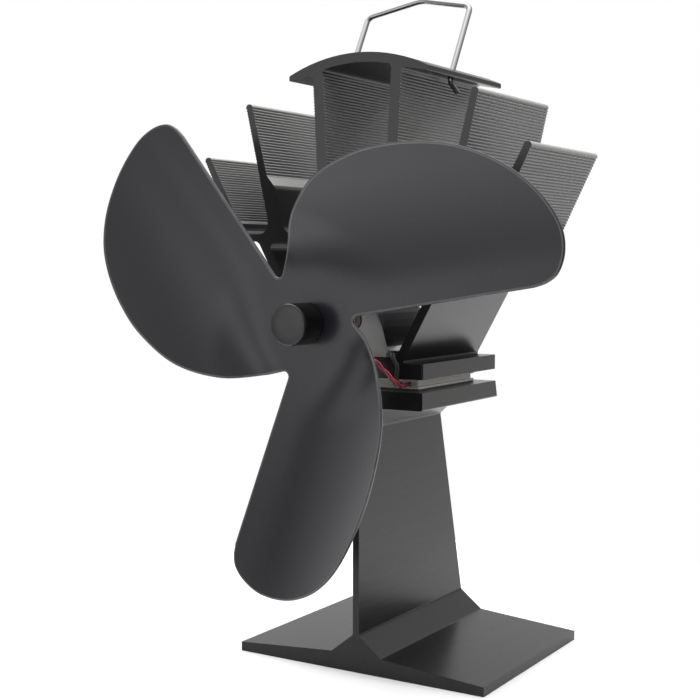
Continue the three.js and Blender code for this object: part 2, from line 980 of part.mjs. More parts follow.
function motorScrew(name, side) {
  const head = -bracketThickness - motorFront - seatGap;
  const body = turned(
    [
      [0, head - motorScrewHeadHeight],
      [motorScrewHeadRadius, head - motorScrewHeadHeight],
      [motorScrewHeadRadius, head],
      [motorScrewRadius, head],
      [motorScrewRadius, canWall + motorScrewReach],
      [0, canWall + motorScrewReach],
    ],
    smallSides,
  );
  const mesh = meshOf(name, body, "brightSteel");
  mesh.position.z = side * motorScrewOffset;
  return mesh;
}

function motor() {
  const group = new THREE.Group();
  group.add(
    motorCan(),
    motorEndCap(),
    bush("motor_front_bush", canWall + runningGap - bushLength + armatureMargin),
    bush("motor_rear_bush", motorLength - endCapPlugLength),
    magnet("motor_magnet_left", -1),
    magnet("motor_magnet_right", 1),
    brush("brush_left", -1),
    brush("brush_right", 1),
    terminal("terminal_left", -1),
    terminal("terminal_right", 1),
    motorScrew("motor_screw_upper", 1),
    motorScrew("motor_screw_lower", -1),
  );
  group.position.set(0, motorFront, motorAxisHeight);
  return group;
}

// Rotor: blade, hub, shaft and armature on the motor's axis

function smooth(value, low, high) {
  return THREE.MathUtils.smoothstep(value, low, high);
}

// How far forward the sheet is rolled at a place, and how steeply
function camberAt(x, z) {
  const radius = Math.hypot(x, z);
  const start = THREE.MathUtils.degToRad(camberEndDegrees) - lobeTurn;
  const angle = THREE.MathUtils.euclideanModulo(Math.atan2(z, x) - start, lobeTurn) + start;
  const over = Math.max(0, radius * Math.sin(angle) - camberStart);
  const fadeStart = THREE.MathUtils.degToRad(camberFadeDegrees);
  const fadeEnd = THREE.MathUtils.degToRad(camberEndDegrees);
  const share =
    smooth(radius, camberBlendInner, camberBlendOuter) * (1 - smooth(angle, fadeStart, fadeEnd));
  return {
    rise: (share * over * over) / (2 * camberRadius),
    slope: (share * over) / camberRadius,
  };
}

// A disc of sheet with rings and sectors, rolled forward over each lobe
function rolledDisc() {
  const reach = bladeRadius + overrun;
  const rings = Array.from({ length: discRings + 1 }, (_, i) => (reach * i) / discRings);
  const back = rings.map((radius) => [radius, 0]);
  const front = rings.map((radius) => [radius, -bladeThickness]).reverse();
  const disc = turned([...front, ...back], discSectors);
  const places = disc.getAttribute("position");
  for (let i = 0; i < places.count; i += 1) {
    const { rise, slope } = camberAt(places.getX(i), places.getZ(i));
    places.setY(i, places.getY(i) * Math.hypot(1, slope) - rise);
  }
  return disc;
}

// A place in a lobe's outline, turned to that lobe
function lobePlace([out, over], lobe) {
  const place = new THREE.Vector2(out, over).multiplyScalar(bladeRadius);
  return place.rotateAround(new THREE.Vector2(), lobe * lobeTurn);
}

// Three lobes, each a rounded notch, a straight edge and a curve round to the next notch
function bladeOutline() {
  const shape = new THREE.Shape();
  for (let lobe = 0; lobe < bladeLobes; lobe += 1) {
    const trailing = { at: lobePlace(lobeOutlineShares.at(-1), lobe - 1) };
    const notch = { at: lobePlace(notchShare, lobe), radius: notchRadius };
    const straight = { at: lobePlace(straightEndShare, lobe) };
    const rounded = roundedCorner(trailing, notch, straight);
    if (lobe === 0) {
      shape.moveTo(rounded[0].x, rounded[0].y);
    }
    rounded.forEach((point) => shape.lineTo(point.x, point.y));
    shape.lineTo(straight.at.x, straight.at.y);
    shape.splineThru(lobeOutlineShares.map((share) => lobePlace(share, lobe)));
  }
  return shape;
}

function fanBlade() {
  const deepest = bladeRadius;
  const prism = alongDepth(bladeOutline(), -deepest, 2 * deepest, splineSteps);
  const sheet = solidOf(rolledDisc()).intersect(solidOf(prism));
  const hole = rod(spigotRadius + fitGap, -overrun, overrun, smallSides);
  const mesh = meshOf("fan_blade", geometryOf(sheet.subtract(solidOf(hole))), "bladeBlack");
  mesh.position.y = bladeSetback;
  mesh.rotation.y = -THREE.MathUtils.degToRad(bladeAngleDegrees);
  return mesh;
}

// Hub, with its own zero at the blade's front face
function hubGeometry() {
  const bore = shaftRadius + pressGap;
  const rivet =
    bladeThickness + 2 * seatGap + bladeWasherThickness + seatGap + spigotRivetLength;
  const body = turned([
    [0, -hubLength],
    [hubRadius - hubEdge, -hubLength],
    [hubRadius, hubEdge - hubLength],
    [hubRadius, -hubEdge],
    [hubRadius - hubEdge, 0],
    [spigotRadius, 0],
    [spigotRadius, rivet],
    [bore, rivet],
    [bore, boreEnd],
    [0, boreEnd],
  ]);
  const grubHole = rod(grubScrewRadius + pressGap, 0, hubRadius + overrun, smallSides)
    .rotateZ(Math.PI / 2)
    .translate(0, -grubScrewSetback, 0);
  return cut(body, grubHole);
}

function hub() {
  const mesh = meshOf("hub", hubGeometry(), "blackAluminium");
  mesh.position.y = hubSeat;
  return mesh;
}

function hubGrubScrew() {
  const start = shaftRadius + seatGap;
  const screw = rod(grubScrewRadius, start, hubRadius - fitGap, smallSides).rotateZ(Math.PI / 2);
  const mesh = meshOf("hub_grub_screw", screw, "darkSteel");
  mesh.position.y = hubSeat - grubScrewSetback;
  return mesh;
}

function bladeWasher() {
  const bore = spigotRadius + pressGap;
  const washer = ring(bore, bladeWasherRadius, 0, bladeWasherThickness, roundSides);
  const mesh = meshOf("blade_washer", washer, "brightSteel");
  mesh.position.y = bladeSetback + seatGap;
  return mesh;
}

function motorShaft() {
  const start = hubSeat + boreEnd + fitGap;
  const end = motorFront + motorLength + bushLength - endCapPlugLength;
  return meshOf("motor_shaft", rod(shaftRadius, start, end, smallSides), "brightSteel");
}

// Three-pole armature core
function armature() {
  const outer = motorRadius - canWall - fitGap - magnetThickness - airGap;
  const bore = shaftRadius + pressGap;
  const start = magnetSetback + armatureMargin;
  const length = magnetLength - 2 * armatureMargin;
  const rim = outer - armatureRimThickness;
  const half = THREE.MathUtils.degToRad(armaturePoleDegrees) / 2;
  const poles = Array.from({ length: armaturePoles }, (_, i) => {
    const shoe = new THREE.Shape();
    shoe.absarc(0, 0, outer, -half, half, false);
    shoe.absarc(0, 0, rim, half, -half, true);
    const turn = (fullTurn * i) / armaturePoles;
    const neck = box(rim, length, armatureNeckWidth, rim / 2, start + length / 2, 0);
    const overlap = box(
      armatureRimThickness,
      length,
      armatureNeckWidth,
      rim,
      start + length / 2,
      0,
    );
    return join(alongDepth(shoe, start, length, smallSides / 4), neck, overlap).rotateY(turn);
  });
  const core = rod(armatureHubRadius, start, start + length, smallSides);
  const hole = rod(bore, start - overrun, start + length + overrun, smallSides);
  return meshOf("armature", cut(join(core, ...poles), hole), "copper");
}

function commutator() {
  const bore = shaftRadius + pressGap;
  const end = commutatorSetback + commutatorLength;
  const drum = ring(bore, commutatorRadius, commutatorSetback, end, smallSides);
  return meshOf("commutator", drum, "copper");
}

function rotor() {
  const group = new THREE.Group();
  group.add(fanBlade(), hub(), hubGrubScrew(), bladeWasher(), motorShaft(), armature(), commutator());
  group.position.z = motorAxisHeight;
  return group;
}

// A round wire or lead along a route
function wireAlong(path, radius, step, sides) {
  const steps = Math.ceil(path.getLength() / step);
  const points = Array.from({ length: sides }, (_, i) =>
    new THREE.Vector2(radius, 0).rotateAround(new THREE.Vector2(), (fullTurn * i) / sides),
  );
  return new THREE.ExtrudeGeometry(new THREE.Shape(points), { steps, extrudePath: path });
}

function lead(name, route, finish) {
  const path = new THREE.CatmullRomCurve3(
    route.map(([x, y, height]) => new THREE.Vector3(x, y, sinkBottom + height)),
    false,
    "centripetal",
  );
  return meshOf(name, wireAlong(path, leadRadius, leadStep, leadSides), finish);
}

// A path through corners, each rounded by a bend
function bentPath(places, bend) {
  const path = new THREE.CurvePath();
  let from = places[0];
  places.slice(1, -1).forEach((place, i) => {
    const next = places[i + 2];
    const before = place.clone().add(from.clone().sub(place).setLength(bend));
    const after = place.clone().add(next.clone().sub(place).setLength(bend));
    path.add(new THREE.LineCurve3(from, before));
    path.add(new THREE.QuadraticBezierCurve3(before, place, after));
    from = after;
  });
  path.add(new THREE.LineCurve3(from, places.at(-1)));
  return path;
}

// Carry handle, upright about its pivots, then leaned back to its rest
function carryHandle() {
  const wire = wireDiameter / 2;
  const pivotHeight =
    (capHeight(handleHalfWidth, capOuterRadius) + wingUnderside(handleHalfWidth)) / 2;
  const underside = wingUnderside(handleHalfWidth + wire) - pivotHeight;
  const hookHeight = underside - wire - hookClearance;
  const side = (sign) => [
    new THREE.Vector3(sign * handleHalfWidth, hookLength, hookHeight),
    new THREE.Vector3(sign * handleHalfWidth, 0, hookHeight),
    new THREE.Vector3(sign * handleHalfWidth, 0, handleCornerHeight),
  ];
  const places = [
    ...side(-1),
    new THREE.Vector3(0, 0, handleApexHeight),
    ...side(1).reverse(),
  ];
  const path = bentPath(places, handleBendRadius);
  const mesh = meshOf("carry_handle", wireAlong(path, wire, wireStep, wireSides), "brightSteel");
  mesh.position.set(0, handlePivotSetback, sinkBottom + pivotHeight);
  mesh.rotation.x = -handleLean;
  return mesh;
}

// The whole fan, shifted so that the base is centred on the origin
const stoveFan = new THREE.Group();
stoveFan.add(
  baseStand(),
  moduleStack(),
  upperPlate(),
  heatSink(),
  motorBracket(),
  frontClampScrew(),
  rearClampWasher(),
  rearClampScrew(),
  motor(),
  lead("red_lead", redLeadRoute, "redSleeve"),
  lead("black_lead", blackLeadRoute, "blackSleeve"),
  rotor(),
  carryHandle(),
);
stoveFan.position.y = -baseDepth / 2;

const fan = new THREE.Group();
fan.add(stoveFan);

export default fan;
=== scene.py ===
# The looks of a stove fan: finishes, fine pieces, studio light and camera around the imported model.
# Lengths are in millimetres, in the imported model's frame: X to the right, Y to the back and Z up.

import json
import math

import bpy
import numpy as np
from mathutils import Matrix, Vector
from mathutils.geometry import delaunay_2d_cdt


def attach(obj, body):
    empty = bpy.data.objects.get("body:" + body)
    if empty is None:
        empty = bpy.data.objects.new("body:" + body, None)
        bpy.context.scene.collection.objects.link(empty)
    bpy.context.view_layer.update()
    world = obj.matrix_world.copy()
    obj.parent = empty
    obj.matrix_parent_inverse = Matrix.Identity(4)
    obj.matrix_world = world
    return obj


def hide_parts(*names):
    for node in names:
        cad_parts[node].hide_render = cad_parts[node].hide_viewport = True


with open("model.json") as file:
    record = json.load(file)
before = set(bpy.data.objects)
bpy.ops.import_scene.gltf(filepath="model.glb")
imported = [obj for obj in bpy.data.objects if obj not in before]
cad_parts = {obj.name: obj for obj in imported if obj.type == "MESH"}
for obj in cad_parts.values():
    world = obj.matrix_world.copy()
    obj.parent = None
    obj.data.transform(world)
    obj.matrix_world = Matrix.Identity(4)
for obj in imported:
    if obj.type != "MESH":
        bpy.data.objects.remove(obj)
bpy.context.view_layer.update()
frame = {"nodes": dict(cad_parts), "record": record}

# One millimetre in the scene's metres
MM = 0.001
FULL_TURN = 2 * math.pi

# Camera, at the photograph's angle
CAMERA_PLACE = Vector((225.4, -403.6, 137.7))
CAMERA_AZIMUTH = math.radians(31.88)
CAMERA_ELEVATION = math.radians(3.89)
CAMERA_LENS = 67.18
CAMERA_SENSOR = 36
CAMERA_NEAR = 10

# Floor
FLOOR_RADIUS = 180
FLOOR_SIDES = 96
FLOOR_COLOUR = (0.6, 0.6, 0.6)
FLOOR_ROUGHNESS = 0.8

# Soft lights, by how tight they are: degrees from the back towards the right, degrees up, strength
OVERHEAD = 5
WIDE = 8
NARROW = 40
SPOT = 150
STUDIO_LIGHTS = {
    OVERHEAD: [(0, 90, 6.5)],
    WIDE: [
        (0, 0, 0.5), (-90, 0, 0.9), (70, 35, 0.9), (160, 35, 0.5), (-110, 35, 0.3), (-70, 35, 1),
        (0, -30, 1.5), (180, -30, 2.5), (-60, -30, 2.5), (-120, -65, 5.5),
    ],
    NARROW: [
        (-175, 12, 2.5), (-155, 12, 1), (-120, 12, 1.2), (-160, -20, 0.3), (25, -20, 0.5),
        (45, -5, 0.7), (-20, 5, 0.6), (-72, 56, 3.5),
    ],
    SPOT: [(-165, 12, 1), (-148, 0, 4.5), (38, -10, 1.4)],
}

# The band of a noise pattern that a finish is spread over
NOISE_LOW = 0.3
NOISE_HIGH = 0.7

# Extrusions: widths of the die's scratches and streaks, and how far both are drawn out
SCRATCH_WIDTH = 0.3
SCRATCH_STRETCH = 90
STREAK_WIDTH = 2.5
STREAK_STRETCH = 40

# Anodising, black as it comes, and a grey painted sheen that stands in for the light on the heat
# sink's rib crests
BLACK_ANODISING = (0.006, 0.006, 0.0065)
RIB_SHEEN_GREY = (0.3, 0.297, 0.291)
# Share of the painted sheen that stays between streaks, and how much the streaks add to it
EVEN_SHEEN_SHARE = 0.75
STREAK_SHEEN_SHARE = 0.5
# How fast the painted sheen falls off as a face turns downwards, a painted shade on undersides
UNDERSIDE_SHADE_RATE = 1.35
# How far around a point its groove is looked for, and how open a point is where the painted sheen
# starts; less open grooves stay dark as painted shade
GROOVE_REACH = 0.8
GROOVE_SAMPLES = 8
GROOVE_OPENNESS = 0.72

# Where the heat sink is ribbed: over this height, beside or under the cap, and off the shoulders
RIBS_FOOT = 150.6
CAP_CENTRE = 143.5
CAP_INSIDE = 57.6
CAP_HALF_WIDTH = 27
SHOULDER_HALF_WIDTH = 47.5
SHOULDER_TOP = 163.5
# How far a face looks along Y when it is a sawn end
SAWN_FACING = 0.7

# The blade's rim reflects a little more than the paint on its faces
RIM_IOR = 1.55

# Smooth shading breaks at corners sharper than this
SHARP_ANGLE = math.radians(35)
RIM_ANGLE = math.radians(60)

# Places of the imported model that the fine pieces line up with
AXIS_HEIGHT = 118.4
BASE_HALF_DEPTH = 37.5

# Fan blade
BLADE_RADIUS = 89.5
BLADE_THICKNESS = 1.2
BLADE_SETBACK = -65.9
BLADE_ANGLE = math.radians(9.5)
LOBES = 3
LOBE_TURN = FULL_TURN / LOBES
SPIGOT_HOLE = 4.3
# The sheet is rolled about an axis along each lobe's straight edge, and is flat near the hub and
# towards the next lobe
CAMBER_RADIUS = 61
CAMBER_START = 5
CAMBER_BLEND = (14, 34)
CAMBER_FADE = math.radians(88)
CAMBER_END = math.radians(112)
# A lobe's outline as shares of the blade's radius: outward along its straight edge, and across it
NOTCH_RADIUS = 1.6
NOTCH_SHARE = (0.177, -0.004)
STRAIGHT_END_SHARE = (0.863, -0.01)
LOBE_OUTLINE_SHARES = [
    (0.909, -0.002), (0.95, 0.022), (0.98, 0.078), (0.987, 0.151), (0.963, 0.235),
    (0.914, 0.318), (0.836, 0.398), (0.737, 0.459), (0.627, 0.495), (0.495, 0.514),
    (0.352, 0.511), (0.184, 0.469), (0.047, 0.371), (-0.041, 0.243),
]
# The sheet's rim from front to back: how far in from the outline, and the share of the thickness
RIM_PROFILE = [
    (0.75, 0), (0.34, 0), (0.1, 0.1), (0, 0.3), (0, 0.7), (0.1, 0.9), (0.34, 1), (0.75, 1),
]
NOTCH_STEPS = 8
OUTLINE_STEPS = 8
HOLE_SIDES = 48
BLADE_GRID = 2.2
# The skin's inner points keep this share of the grid's spacing from both rims
GRID_CLEARANCE_SHARE = 0.6
# The triangulation keeps what lies inside the rims, and takes points this near for one
KEEP_INSIDE = 1
SAME_POINT = 1e-6

# Hub
HUB_RADIUS = 6.5
HUB_SEAT = -67.15
HUB_LENGTH = 10
HUB_EDGE = 0.8
HUB_EDGE_STEPS = 5
HUB_SIDES = 96
# Where the front face has an inner ring, as a share of the hub's radius
HUB_FACE_SHARE = 0.5
# The hub's back edge: out from its radius, and back from its seat
HUB_BACK_EDGE = [(0, -0.5), (-0.15, -0.15), (-0.5, 0)]
SPIGOT_RADIUS = 4
SPIGOT_LENGTH = 2.85
SPIGOT_EDGE = 0.2
BORE_RADIUS = 1.25
BORE_END = -7.4
GRUB_HOLE_RADIUS = 1.6
GRUB_HOLE_REACH = 13
GRUB_HOLE_SIDES = 32
GRUB_SETBACK = 5

# Carry handle
HANDLE_PIVOT = Vector((0, -9.5, 200.447))
HANDLE_LEAN = math.radians(29.3)
HANDLE_HALF_WIDTH = 20.4
HANDLE_CORNER = 28
HANDLE_APEX = 32.9
HANDLE_HOOK = 6.5
HANDLE_HOOK_HEIGHT = -2.95
HANDLE_BEND = 2.5
WIRE_RADIUS = 1
WIRE_SIDES = 24
WIRE_EDGE = 0.25
BEND_STEPS = 10

# Leads: thin wires twisted round a route from the motor's terminals to the module's front edge
LEAD_WIRES = 3
LEAD_RADIUS = 0.27
LEAD_REACH = 0.5
LEAD_TWIST = 14
LEAD_SIDES = 14
LEAD_EDGE = 0.1
LEAD_STEPS = 10
# The part's routes, with Y measured from the base's front edge
RED_LEAD = [
    (-6, 30.4, 118.4), (-6.2, 33, 118.2), (-8.6, 35.4, 115), (-12.6, 34.6, 109.8),
    (-13.8, 30.5, 107.8), (-13.8, 22, 107.7), (-13.8, 12, 107.7), (-13.8, 3, 107.7),
    (-13.8, -1.4, 107.7), (-12.9, -3.1, 107.7), (-10.2, -3.5, 107.5), (-2, -3.4, 107.1),
    (7.7, -3.3, 106.3), (13, -3.3, 102.3), (17, -3.2, 98.8), (17.6, -1.4, 97.6),
    (17.2, 2.4, 97.5), (17, 6.2, 97.5),
]
BLACK_LEAD = [
    (6, 30.4, 118.4), (6.2, 33, 118.2), (8.6, 35.4, 115), (12.6, 34.6, 109.8),
    (13.8, 30.5, 107.8), (13.8, 22, 107.7), (13.8, 12, 107.7), (13.8, 3.4, 107.8),
    (13.9, 0.6, 108), (14.4, -1.1, 107.4), (15.6, -1.4, 105.6), (16.4, -1.4, 103.4),
    (16.4, -1.4, 100.4), (15.6, -1.1, 98.4), (14.4, 1.4, 97.6), (13.8, 6.2, 97.5),
]

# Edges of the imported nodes, broken by these widths
EDGES = {
    "base_stand": 0.22, "upper_plate": 0.2, "heat_sink": 0.07, "motor_bracket": 0.2,
    "module_hot_ceramic": 0.06, "module_cold_ceramic": 0.06, "module_core": 0.2,
    "lower_thermal_pad": 0.05, "upper_thermal_pad": 0.05, "front_clamp_screw": 0.08,
    "rear_clamp_screw": 0.12, "rear_clamp_washer": 0.1, "motor_can": 0.15,
    "motor_end_cap": 0.2, "motor_front_bush": 0.15, "motor_rear_bush": 0.15,
    "motor_magnet_left": 0.2, "motor_magnet_right": 0.2, "brush_left": 0.1,
    "brush_right": 0.1, "terminal_left": 0.06, "terminal_right": 0.06,
    "motor_screw_upper": 0.2, "motor_screw_lower": 0.2, "hub_grub_screw": 0.1,
    "blade_washer": 0.1, "motor_shaft": 0.15, "armature": 0.1, "commutator": 0.1,
}
EDGE_SEGMENTS = 2
EDGE_ANGLE = math.radians(28)
FLAT_ANGLE = math.radians(0.5)


# Camera, studio and floor

def make_camera():
    back = Vector((
        math.sin(CAMERA_AZIMUTH) * math.cos(CAMERA_ELEVATION),
        -math.cos(CAMERA_AZIMUTH) * math.cos(CAMERA_ELEVATION),
        math.sin(CAMERA_ELEVATION),
    ))
    data = bpy.data.cameras.new("camera")
    data.lens = CAMERA_LENS
    data.sensor_width = CAMERA_SENSOR
    data.sensor_fit = "HORIZONTAL"
    data.clip_start = CAMERA_NEAR * MM
    camera = bpy.data.objects.new("camera", data)
    camera.location = CAMERA_PLACE * MM
    camera.rotation_mode = "QUATERNION"
    camera.rotation_quaternion = (-back).to_track_quat("-Z", "Y")
    bpy.context.scene.collection.objects.link(camera)
    bpy.context.scene.camera = camera


def link(tree, source, target):
    tree.links.new(source, target)


def reckon(tree, operation, *values):
    """A math node over sockets and numbers."""
    node = tree.nodes.new("ShaderNodeMath")
    node.operation = operation
    for socket, value in zip(node.inputs, values):
        if isinstance(value, bpy.types.NodeSocket):
            link(tree, value, socket)
        else:
            socket.default_value = value
    return node.outputs[0]


def glow_from(tree, direction, azimuth, elevation, tightness):
    """A soft light's share of its strength in a direction, which is one at its middle."""
    turn = math.radians(azimuth)
    rise = math.radians(elevation)
    facing = tree.nodes.new("ShaderNodeVectorMath")
    facing.operation = "DOT_PRODUCT"
    facing.inputs[1].default_value = (
        math.cos(rise) * math.sin(turn),
        math.cos(rise) * math.cos(turn),
        math.sin(rise),
    )
    link(tree, direction, facing.inputs[0])
    aside = reckon(tree, "SUBTRACT", facing.outputs["Value"], 1)
    return reckon(tree, "EXPONENT", reckon(tree, "MULTIPLY", aside, tightness))


def make_studio():
    """Soft lights all round the fan, and plain white where the camera sees past it."""
    world = bpy.data.worlds.new("studio")
    world.use_nodes = True
    bpy.context.scene.world = world
    tree = world.node_tree
    tree.nodes.clear()
    direction = tree.nodes.new("ShaderNodeTexCoord").outputs["Generated"]
    total = 0
    for tightness, lights in STUDIO_LIGHTS.items():
        for azimuth, elevation, strength in lights:
            glow = glow_from(tree, direction, azimuth, elevation, tightness)
            total = reckon(tree, "ADD", total, reckon(tree, "MULTIPLY", glow, strength))
    room = tree.nodes.new("ShaderNodeBackground")
    link(tree, total, room.inputs["Strength"])
    plain = tree.nodes.new("ShaderNodeBackground")
    for background in (room, plain):
        background.inputs["Color"].default_value = (1, 1, 1, 1)
    seen = tree.nodes.new("ShaderNodeLightPath")
    mix = tree.nodes.new("ShaderNodeMixShader")
    out = tree.nodes.new("ShaderNodeOutputWorld")
    link(tree, seen.outputs["Is Camera Ray"], mix.inputs["Fac"])
    link(tree, room.outputs[0], mix.inputs[1])
    link(tree, plain.outputs[0], mix.inputs[2])
    link(tree, mix.outputs[0], out.inputs["Surface"])
    bpy.context.scene.view_settings.view_transform = "Standard"


def make_floor():
    bpy.ops.mesh.primitive_circle_add(
        vertices=FLOOR_SIDES, radius=FLOOR_RADIUS * MM, fill_type="NGON"
    )
    floor = bpy.context.object
    floor.name = "floor"
    floor.data.materials.append(new_material("floor", FLOOR_COLOUR, FLOOR_ROUGHNESS))


# Finishes

def shader_of(material):
    return material.node_tree.nodes["Principled BSDF"]


def new_material(name, colour, roughness, metallic=0, specular=0.5):
    material = bpy.data.materials.new(name)
    material.use_nodes = True
    shader = shader_of(material)
    shader.inputs["Base Color"].default_value = (*colour, 1)
    shader.inputs["Roughness"].default_value = roughness
    shader.inputs["Metallic"].default_value = metallic
    shader.inputs["Specular IOR Level"].default_value = specular
    return material


def grain(material, size, stretch=(1, 1, 1), detail=3):
    """Noise of that size in the piece's own coordinates, drawn out by stretch."""
    tree = material.node_tree
    place = tree.nodes.new("ShaderNodeTexCoord")
    mapping = tree.nodes.new("ShaderNodeMapping")
    mapping.inputs["Scale"].default_value = [1 / (size * MM * share) for share in stretch]
    noise = tree.nodes.new("ShaderNodeTexNoise")
    noise.inputs["Scale"].default_value = 1
    noise.inputs["Detail"].default_value = detail
    link(tree, place.outputs["Object"], mapping.inputs["Vector"])
    link(tree, mapping.outputs["Vector"], noise.inputs["Vector"])
    return noise.outputs["Fac"]


def vary_roughness(material, pattern, low, high):
    tree = material.node_tree
    span = tree.nodes.new("ShaderNodeMapRange")
    span.inputs["From Min"].default_value = NOISE_LOW
    span.inputs["From Max"].default_value = NOISE_HIGH
    span.inputs["To Min"].default_value = low
    span.inputs["To Max"].default_value = high
    link(tree, pattern, span.inputs["Value"])
    link(tree, span.outputs["Result"], shader_of(material).inputs["Roughness"])


def tint(material, pattern, dark, light, start=NOISE_LOW, end=NOISE_HIGH):
    """Colours the surface from dark, where the pattern is at its start, to light at its end."""
    tree = material.node_tree
    ramp = tree.nodes.new("ShaderNodeValToRGB")
    ramp.color_ramp.elements[0].position = start
    ramp.color_ramp.elements[0].color = (*dark, 1)
    ramp.color_ramp.elements[1].position = end
    ramp.color_ramp.elements[1].color = (*light, 1)
    link(tree, pattern, ramp.inputs["Fac"])
    link(tree, ramp.outputs["Color"], shader_of(material).inputs["Base Color"])


def raise_by(material, pattern, depth):
    """Bumps as deep as that where the pattern is light."""
    tree = material.node_tree
    bump = tree.nodes.new("ShaderNodeBump")
    bump.inputs["Distance"].default_value = depth * MM
    link(tree, pattern, bump.inputs["Height"])
    link(tree, bump.outputs["Normal"], shader_of(material).inputs["Normal"])


def die_lines(material):
    """Fine scratches of the extrusion die along the bar's length, with broader streaks."""
    lines = grain(material, SCRATCH_WIDTH, (1, SCRATCH_STRETCH, 1), detail=4)
    streaks = grain(material, STREAK_WIDTH, (1, STREAK_STRETCH, 1))
    return lines, streaks


def black_aluminium():
    """Black anodised extrusion."""
    material = new_material("black_aluminium", BLACK_ANODISING, roughness=0.28, specular=0.28)
    lines, streaks = die_lines(material)
    tint(material, streaks, dark=(0.0045, 0.0045, 0.005), light=(0.008, 0.008, 0.0085))
    vary_roughness(material, lines, low=0.27, high=0.295)
    raise_by(material, lines, depth=0.0015)
    return material


def sheen_by_facing(tree, facing):
    """One on a side that looks level or up, less on an underside as painted shade, nought on the
    sawn ends.
    """
    side = reckon(tree, "LESS_THAN", reckon(tree, "ABSOLUTE", facing.outputs["Y"]), SAWN_FACING)
    # Painted shade: faces that look downwards get less of the painted sheen
    upward = reckon(tree, "MULTIPLY_ADD", facing.outputs["Z"], UNDERSIDE_SHADE_RATE, 1)
    return reckon(tree, "MULTIPLY", side, reckon(tree, "MINIMUM", upward, 1))


def on_fins(tree, at):
    """One on the heat sink's fins and under its cap, nought on its shoulders, arms and cap."""
    aside = reckon(tree, "ABSOLUTE", at.outputs["X"])
    height = at.outputs["Z"]
    rise = reckon(tree, "SUBTRACT", height, CAP_CENTRE * MM)
    reach = reckon(
        tree, "ADD", reckon(tree, "MULTIPLY", aside, aside), reckon(tree, "MULTIPLY", rise, rise)
    )
    outside = reckon(tree, "GREATER_THAN", aside, CAP_HALF_WIDTH * MM)
    under_cap = reckon(tree, "LESS_THAN", reach, (CAP_INSIDE * MM) ** 2)
    over_foot = reckon(tree, "GREATER_THAN", height, RIBS_FOOT * MM)
    near = reckon(tree, "LESS_THAN", aside, SHOULDER_HALF_WIDTH * MM)
    low = reckon(tree, "LESS_THAN", height, SHOULDER_TOP * MM)
    shoulder = reckon(tree, "MULTIPLY", outside, reckon(tree, "MULTIPLY", near, low))
    fin = reckon(tree, "MULTIPLY", reckon(tree, "MAXIMUM", outside, under_cap), over_foot)
    return reckon(tree, "MULTIPLY", fin, reckon(tree, "SUBTRACT", 1, shoulder))


def ribbed_part(tree):
    """How much of the painted sheen each face of the heat sink gets."""
    place = tree.nodes.new("ShaderNodeTexCoord")
    at = tree.nodes.new("ShaderNodeSeparateXYZ")
    facing = tree.nodes.new("ShaderNodeSeparateXYZ")
    link(tree, place.outputs["Object"], at.inputs[0])
    link(tree, place.outputs["Normal"], facing.inputs[0])
    return reckon(tree, "MULTIPLY", on_fins(tree, at), sheen_by_facing(tree, facing))


def lit_rib_crests(tree):
    """One on a rib's crest, falling to nought in the grooves: painted shade from how open each point
    is.
    """
    opening = tree.nodes.new("ShaderNodeAmbientOcclusion")
    opening.samples = GROOVE_SAMPLES
    opening.only_local = True
    opening.inputs["Distance"].default_value = GROOVE_REACH * MM
    # Painted shade: the less open a point is, the darker its groove
    crest = reckon(tree, "SUBTRACT", opening.outputs["AO"], GROOVE_OPENNESS)
    return reckon(tree, "DIVIDE", crest, 1 - GROOVE_OPENNESS)


def ribbed_aluminium():
    """The heat sink's black anodising, with a painted grey sheen on the crests of its ribs and black
    elsewhere.
    """
    material = new_material("ribbed_aluminium", BLACK_ANODISING, roughness=0.3, specular=0.35)
    tree = material.node_tree
    lines, streaks = die_lines(material)
    # Painted sheen: the grey tint on the rib crests stands in for light, and is streaked along the
    # die lines
    share = reckon(tree, "MULTIPLY_ADD", streaks, STREAK_SHEEN_SHARE, EVEN_SHEEN_SHARE)
    crest_sheen = reckon(tree, "MULTIPLY", share, lit_rib_crests(tree))
    painted_sheen = reckon(tree, "MULTIPLY", ribbed_part(tree), crest_sheen)
    tint(material, painted_sheen, BLACK_ANODISING, RIB_SHEEN_GREY, start=0, end=1)
    vary_roughness(material, lines, low=0.29, high=0.32)
    raise_by(material, lines, depth=0.0015)
    return material


def blade_black():
    """Satin black paint with a very fine orange peel."""
    material = new_material("blade_black", (0.006, 0.006, 0.0085), roughness=0.27, specular=0.28)
    vary_roughness(material, grain(material, size=14), low=0.26, high=0.28)
    raise_by(material, grain(material, size=0.35, detail=2), depth=0.002)
    return material


def blade_edge():
    """The blade's rim, glossier than its faces, and a little lighter than them as a painted
    highlight along the edges.
    """
    material = new_material("blade_edge", (0.02, 0.02, 0.022), roughness=0.3)
    shader_of(material).inputs["IOR"].default_value = RIM_IOR
    # Painted highlight: the rim's colour runs from the faces' black up to a lighter grey
    tint(
        material, grain(material, size=3), dark=(0.006, 0.006, 0.008), light=(0.02, 0.02, 0.022)
    )
    vary_roughness(material, grain(material, size=2), low=0.26, high=0.34)
    return material


def bare_aluminium():
    material = new_material("bare_aluminium", (0.62, 0.62, 0.61), roughness=0.35, metallic=1)
    lines = grain(material, size=0.25, stretch=(40, 1, 1), detail=4)
    vary_roughness(material, lines, low=0.3, high=0.45)
    raise_by(material, lines, depth=0.01)
    return material


def bright_steel():
    material = new_material("bright_steel", (0.72, 0.72, 0.73), roughness=0.16, metallic=1)
    vary_roughness(material, grain(material, size=1.5), low=0.12, high=0.22)
    raise_by(material, grain(material, size=0.2), depth=0.004)
    return material


